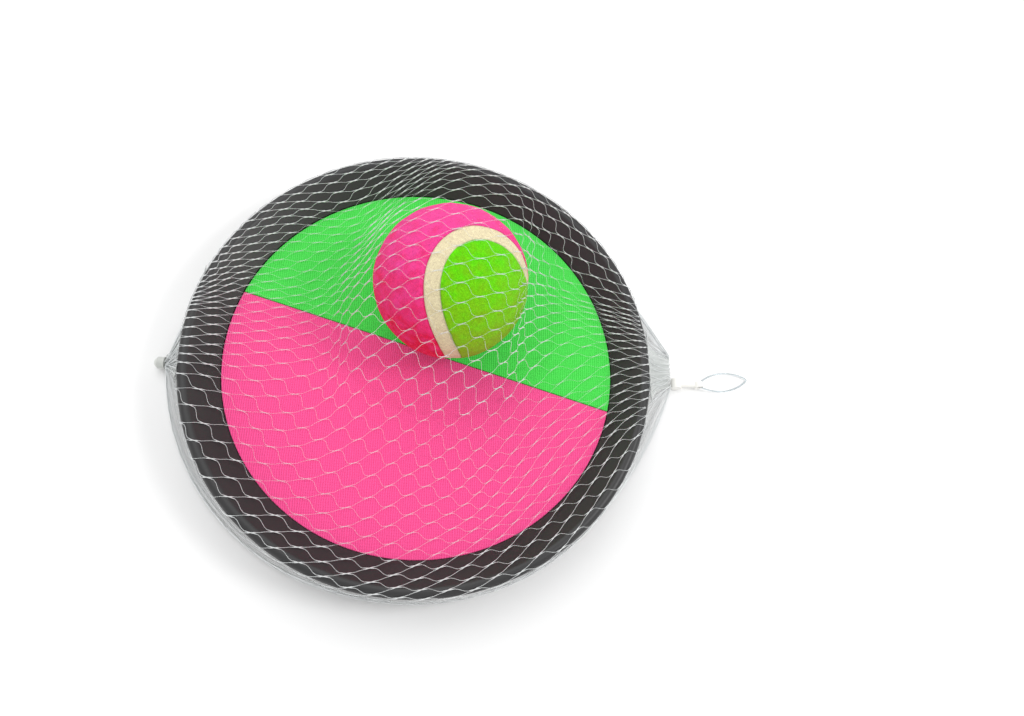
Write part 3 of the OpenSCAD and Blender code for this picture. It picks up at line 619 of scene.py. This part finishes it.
def laid_on(flat):
    """Lays places seen against the fabric's plane on the net, and past the lip down its outside."""
    sight = np.column_stack([flat, np.full(len(flat), net_bed)]) - seen_from
    share, found = np.ones(len(flat)), np.zeros(len(flat), bool)
    before = np.full(len(flat), 30.0)
    for step in np.linspace(0.74, 1.0, 131):
        at = seen_from + sight * step
        over = at[:, 2] - net_height(at[:, 0], at[:, 1])
        touch = ~found & (over <= 0)
        share[touch] = step - 0.002 * (-over / (before - over + 1e-9))[touch]
        found |= touch
        before = over
    at = seen_from + sight * share[:, None]
    radius = np.hypot(at[:, 0], at[:, 1])
    past = np.maximum(0, radius - lip_r)
    down = [0, 1.4, 3.2, 9.6, 17.6, 23.9, 27.7, 33.7]
    outside = np.interp(past, down, [lip_r, 96.2, 96.7, 97.2, 96.8, 95.0, 92.0, 86.0])
    at[:, :2] *= (np.where(past > 0, outside, radius) / radius)[:, None]
    at[:, 2] = np.where(past > 0, np.interp(past, down, [26.0, 25.0, 23.4, 17.0, 9.0, 3.0, 0.7, 0.35]), at[:, 2])
    return at, past


def strand_lines(middle, lead):
    """Flat runs of both sets of strands through a field of bonds, and how stout each point is."""
    column_n, row_n = middle.shape[:2]
    ahead, rise = np.gradient(middle, axis=0), np.gradient(middle, axis=1)
    ways = [ahead + rise, ahead - rise]
    ways = [w / (np.linalg.norm(w, axis=2, keepdims=True) + 1e-9) for w in ways]
    bond_way = lead[..., None] * ways[0] + (1 - lead[..., None]) * ways[1]
    bond_way /= np.linalg.norm(bond_way, axis=2, keepdims=True) + 1e-9
    half = np.minimum(bond_l / 2, 0.34 * np.linalg.norm(ahead, axis=2))[..., None] * bond_way
    side = np.stack([-bond_way[..., 1], bond_way[..., 0]], -1)
    h = np.linspace(0, 1, 7)[1:-1, None]
    runs = []
    for way in (1, -1):
        for first in range(-column_n * 2, row_n + column_n * 2):
            places = [(c, first + way * c) for c in range(column_n) if 0 <= first + way * c < row_n]
            if first % 2 or len(places) < 2:
                continue
            points, wide = [], []
            for spot, last in zip(places, [None] + places):
                enter = middle[spot] - half[spot] - 0.17 * way * side[spot]
                if last:
                    leave, pull_in = points[-1], 1.35 * np.linalg.norm(enter - points[-1])
                    points += list((2 * h ** 3 - 3 * h ** 2 + 1) * leave
                                   + (h ** 3 - 2 * h ** 2 + h) * pull_in * bond_way[last]
                                   + (3 * h ** 2 - 2 * h ** 3) * enter + (h ** 3 - h ** 2) * pull_in * bond_way[spot])
                    wide += [0.95, 0.88, 0.85, 0.88, 0.95]
                points += [enter, middle[spot] + half[spot] + 0.17 * way * side[spot]]
                wide += [1.3, 1.3]
            runs.append((np.array(points), np.array(wide)))
    return runs


def draw_strands(name, runs, thickness):
    """Draws strands along runs of points as round plastic and makes them one mesh."""
    curve = bpy.data.curves.new(name, "CURVE")
    curve.dimensions = "3D"
    curve.bevel_depth = thickness / 1000
    curve.bevel_resolution = 0
    curve.use_fill_caps = True
    for points, wide, shows in runs:
        line = curve.splines.new("POLY")
        line.points.add(len(points) - 1)
        line.points.foreach_set("co", np.column_stack([points / 1000, np.ones(len(points))]).ravel())
        line.points.foreach_set("radius", np.array(wide, float))
    piece = bpy.data.objects.new(name, curve)
    bpy.context.collection.objects.link(piece)
    make_active(piece)
    bpy.ops.object.convert(target="MESH")
    piece = bpy.context.object
    piece.name = name
    bpy.ops.object.shade_smooth()
    shown = np.repeat(np.concatenate([np.array(shows, float) for points, wide, shows in runs]), 4)
    caps = np.full(len(piece.data.vertices) - len(shown), 0.5)
    milky = piece.data.attributes.new("milky", "FLOAT", "POINT")
    milky.data.foreach_set("value", np.concatenate([caps, shown]))
    return piece


def kept_runs(kept):
    """Where each kept stretch of a strand starts and stops."""
    return np.nonzero(np.diff(np.concatenate([[0], kept.astype(int), [0]])))[0].reshape(-1, 2)


net_seed = np.random.default_rng(11)
gather_n = 14
tab_down = np.array([[96.0, 25.6], [98.6, 17], [101.0, 9], [104.4, 5], [108.4, 3.2], [tab_x, tab_high]])


def into_tail(begin, turn):
    """A strand from the lip, round its outside and down into the seal; slack on the near side."""
    h, lip = np.linspace(0, 1, gather_n), np.hypot(*begin[:2])
    slack = np.clip((turn - 190) / 40, 0, 1)
    angle = np.radians(turn + (tail_turn + net_seed.normal() * 0.8 - turn) * h)
    reach = lip + (tail_reach - lip) * h ** (3 - slack) + 1.2 * np.sin(np.pi * h) * (0.3 + slack)
    drop = begin[2] + (tail_high + net_seed.normal() * 0.7 - begin[2]) * (1 - (1 - h) ** (1.25 + 2.0 * slack))
    points = np.stack([reach * np.cos(angle), reach * np.sin(angle), np.maximum(drop, 0.4)], -1)
    return points, [0.85 - 0.25 * slack] * gather_n, [1.0] * gather_n


def round_to_tab(begin):
    """A strand from beside the tab, round the outside of the lip to the tab's end."""
    h, lip, start = np.linspace(0, 1, gather_n), np.hypot(*begin[:2]), math.atan2(begin[1], begin[0])
    aim = math.atan2(tab_y + math.copysign(7.0, begin[1]) + net_seed.normal() * 0.6, tab_x)
    angle = start + (aim - start) * h ** 0.9
    reach = lip + (tab_x / math.cos(aim) - lip) * h ** 2.6
    drop = begin[2] + (tab_high + net_seed.uniform(-0.8, 0.9) - begin[2]) * (1 - (1 - h) ** 1.5)
    points = np.stack([reach * np.cos(angle), reach * np.sin(angle), drop], -1)
    return points, [0.6] * gather_n, [1.0] * gather_n


def down_to_tab(begin):
    """A strand over the lip in front of the tab, down along the pleats to the tab's end."""
    h, mark = np.linspace(0, 1, gather_n), np.linspace(0, 1, len(tab_down))
    y_end = tab_y + (begin[1] - tab_middle) * 0.27 + net_seed.normal() * 0.5
    x = begin[0] + np.interp(h, mark, tab_down[:, 0] - tab_down[0, 0]) / 16.4 * (tab_x - begin[0])
    z = np.interp(h, mark, tab_down[:, 1]) + (begin[2] - tab_down[0, 1]) * (1 - h)
    z += net_seed.uniform(-0.6, 0.9) * np.minimum(1, 3 * h)
    y = begin[1] + (y_end - begin[1]) * h ** 0.9 + 0.7 * np.sin(3 * np.pi * h) * net_seed.normal()
    return np.stack([x, y, np.maximum(z, 0.4)], -1), [1.0] * gather_n, [0.6] * gather_n


row_at, column_at = np.arange(-33, 60), np.arange(1, 35)
bond_middle = between(bond_rows, (row_at - row_at[0]) / 7.0)
bond_middle = between(np.swapaxes(bond_middle, 0, 1), (column_at - column_at[0]) / 3.0)
far_left = np.clip((row_at[None] - 24) / 8, 0, 1) * np.clip((17 - column_at[:, None]) / 4, 0, 1)
over_runs, tail_runs, tab_runs = [], [], []
for flat, wide in strand_lines(bond_middle, 0.78 - 0.56 * far_left):
    points, past = laid_on(flat)
    on_ball = np.abs(np.linalg.norm(points - net_ball, axis=1) - net_ball_r) < 0.7
    on_pile = (np.hypot(points[:, 0], points[:, 1]) < 82) & (points[:, 2] < 18.6)
    shows = (0.5 + (wide - 0.95).clip(0) * 1.3) * np.where(on_ball, 0.34, np.where(on_pile, 0.3, 0.78))
    shows *= np.where(on_pile & (wide > 1), 0.8, 1)
    # The net hangs lowest half way between its two ends and rises towards each, where it is gathered.
    turn = np.degrees(np.arctan2(points[:, 1], points[:, 0])) % 360
    from_tail, from_tab = np.abs(turn - tail_turn), np.abs((turn + 180) % 360 - 180 - tab_turn)
    to_tail, to_tab = from_tail < 95, from_tab < 80
    hang = np.where(to_tail, np.interp(from_tail, [62, 95], [3, 33]), np.interp(from_tab, [48, 80], [3, 33]))
    over_tab = to_tab & (np.abs(points[:, 1] - tab_middle) < tab_half)
    for start, stop in kept_runs(past < np.where(over_tab, 0.8, hang)):
        if stop - start < 4:
            continue
        over_runs.append((points[start:stop], wide[start:stop], shows[start:stop]))
        for end in (start, stop - 1):
            if past[end] > 0 and to_tail[end]:
                tail_runs.append(into_tail(points[end], turn[end]))
            elif past[end] > 0 and to_tab[end]:
                beside = abs(points[end, 1] - tab_middle) > tab_half
                tab_runs.append(round_to_tab(points[end]) if beside else down_to_tab(points[end]))
under_middle = np.stack(np.meshgrid(np.arange(-91, 92, 7.0), np.arange(-91, 92, 3.25), indexing="ij"), -1)
under_runs = []
for flat, wide in strand_lines(under_middle, np.full(under_middle.shape[:2], 0.5)):
    points = np.column_stack([flat, np.full(len(flat), under_high)])
    for start, stop in kept_runs(np.hypot(flat[:, 0], flat[:, 1]) < 88):
        if stop - start > 3:
            under_runs.append((points[start:stop], wide[start:stop], 0.5 + (wide[start:stop] - 0.95).clip(0)))

net_plastic, net_tree, net_shell = moulded(
    "net_plastic", paint("#e4e8e9"), paint("#fafbfb"), 0.25, 0.45, 700.0, 0.00004)
net_milky = add_node(net_tree, "ShaderNodeAttribute", {"attribute_name": "milky"})
net_tree.links.new(net_milky.outputs["Fac"], net_shell.inputs["Alpha"])
net_over = draw_strands("net_over", over_runs, strand_r)
net_over.data.materials.append(net_plastic)
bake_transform(net_over)
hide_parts("net_upper")
net_below = draw_strands("net_below", under_runs, strand_r)
net_below.data.materials.append(net_plastic)
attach(net_below, "paddle_and_bag")
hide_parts("net_under")

# The tab: the net's right end, folded flat into pleats and pressed together, which the
# clip is pushed through. Seen close it is strands with a skin of melted plastic.
net_skin, _, skin_shell = moulded("net_skin", paint("#d2d6d4"), paint("#eaedeb"), 0.25, 0.5, 500.0, 0.0001)
skin_shell.inputs["Alpha"].default_value = 0.5


def pleated(name, route, pleats, depth, thickness):
    """A pleated skin along a route of cross lines: each gives two ends, and z is under both."""
    bpy.ops.object.select_all(action="DESELECT")
    bpy.ops.mesh.primitive_grid_add(x_subdivisions=30, y_subdivisions=8 * pleats, size=1)
    skin = bpy.context.object
    skin.name = name
    flat = np.array([v.co[:] for v in skin.data.vertices])
    along, over = flat[:, 0] + 0.5, flat[:, 1] + 0.5
    marks = np.linspace(0, 1, len(route))
    near = np.stack([np.interp(along, marks, [p[0][k] for p in route]) for k in range(3)], -1)
    far = np.stack([np.interp(along, marks, [p[1][k] for p in route]) for k in range(3)], -1)
    place = near + (far - near) * over[:, None]
    fold = np.sin(2 * np.pi * pleats * over + 1.3 * np.sin(3 * along)) * (0.35 + 0.65 * along)
    out = np.stack([place[:, 0], place[:, 1], 0 * along], -1)
    out /= np.linalg.norm(out, axis=1, keepdims=True)
    steep = np.interp(along, [0, 0.35, 0.7, 1], [0.3, 1.0, 0.4, 0.0])
    place += depth * fold[:, None] * (out * steep[:, None] + np.array([0, 0, 1]) * (1 - 0.7 * steep)[:, None])
    place[:, 2] = np.maximum(place[:, 2], thickness / 2 + 0.1)
    skin.data.vertices.foreach_set("co", (place / 1000).ravel())
    skin.data.update()
    apply_modifier(skin, "SOLIDIFY", thickness=thickness / 1000, offset=0.0)
    apply_modifier(skin, "SUBSURF", levels=1, render_levels=1)
    bpy.ops.object.shade_smooth()
    skin.data.materials.append(net_skin)
    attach(skin, "paddle_and_bag")
    return skin


tab_route = [((96.0, -15.0, 25.4), (95.2, 18.0, 25.4)), ((98.6, -12.5, 17), (97.8, 18.2, 17)),
             ((101.0, -8, 9), (100.4, 17.6, 9)), ((104.4, -3.6, 5), (104.0, 16.6, 5)),
             ((108.4, -1.2, 3.2), (108.4, 15.6, 3.2)), ((tab_x, -0.5, tab_high), (tab_x, 15.0, tab_high))]
tab_skin = pleated("tab_skin", tab_route, pleats=7, depth=0.6, thickness=0.3)
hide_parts("net_gather_loop_end")
tab_strands = draw_strands("tab_strands", tab_runs, 0.17)
tab_strands.data.materials.append(net_plastic)
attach(tab_strands, "paddle_and_bag")

# The tail: the net's left end, whose strands are drawn together down the outside of the
# lip into the seal. Near the seal they lie so close that they make a pleated skin.
tail_route = [((-90.5, 34.0, 25.6), (-95.5, -16.0, 25.6)), ((-92.6, 33.0, 17), (-97.6, -15.0, 17)),
              ((-96.2, 27, 8), (-99.8, -12, 8)), ((-101.0, 14, 4.4), (-102.4, -7.5, 4.4)),
              ((-104.6, 4.5, 3.0), (-104.8, -5.5, 3.0)), ((-106.8, 1.0, tail_high), (-106.8, -4.6, tail_high))]
tail_skin = pleated("tail_skin", tail_route, pleats=8, depth=0.7, thickness=0.3)
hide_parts("net_gather_seal_end")
tail_strands = draw_strands("tail_strands", tail_runs, 0.15)
tail_strands.data.materials.append(net_plastic)
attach(tail_strands, "paddle_and_bag")

# The seal: the strands' ends at the left, cut off and melted together into one hard
# grey button that keeps the bag closed.
seal_plastic = moulded("seal_plastic", paint("#b6b9b4"), paint("#e4e6e2"), 0.25, 0.55, 600.0, 0.0002)[0]
dress("end_seal", seal_plastic)

# The clip: a white moulded stem, with a knuckle that is pushed through the tab and holds
# its pleats, and an eye at the other end for the loop.
clip_plastic = moulded("clip_plastic", paint("#eceae4"), paint("#fbfaf6"), 0.28, 0.42, 1800.0, 0.00004)[0]
dress("hang_clip", clip_plastic)

# The hang loop: thin clear plastic line bent to a leaf, which hangs the bag on a peg. It is
# threaded through the clip's eye and welded to itself there.
eye_at, loop_l, loop_half, loop_r = np.array([125.5, 2.0, 2.5]), 24.6, 4.3, 0.32
loop_turn, loop_drop = math.radians(11), math.radians(4.2)
loop_share = np.linspace(0, 1, 40)
loop_along, loop_wide = loop_l * loop_share, loop_half * np.sin(np.pi * loop_share) ** 0.7
loop_leaf = np.concatenate([np.stack([loop_along, loop_wide], -1), np.stack([loop_along, -loop_wide], -1)[-2:0:-1]])
loop_x, loop_y = loop_leaf[:, 0] * math.cos(loop_drop), loop_leaf[:, 1]
loop_points = eye_at + np.stack([loop_x * math.cos(loop_turn) - loop_y * math.sin(loop_turn),
                                 loop_x * math.sin(loop_turn) + loop_y * math.cos(loop_turn),
                                 -loop_leaf[:, 0] * math.sin(loop_drop)], -1)
loop_points = np.vstack([loop_points, loop_points[:1]])
clear_loop = draw_strands("clear_loop", [(loop_points, np.ones(len(loop_points)), np.ones(len(loop_points)))], loop_r)
loop_plastic, _, loop_shell = moulded(
    "loop_plastic", paint("#b9c6cb"), paint("#dbe5e8"), 0.05, 0.14, 900.0, 0.00003)
loop_shell.inputs["Transmission Weight"].default_value = 0.9
loop_shell.inputs["IOR"].default_value = 1.4
clear_loop.data.materials.append(loop_plastic)
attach(clear_loop, "loop")
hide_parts("hang_loop")
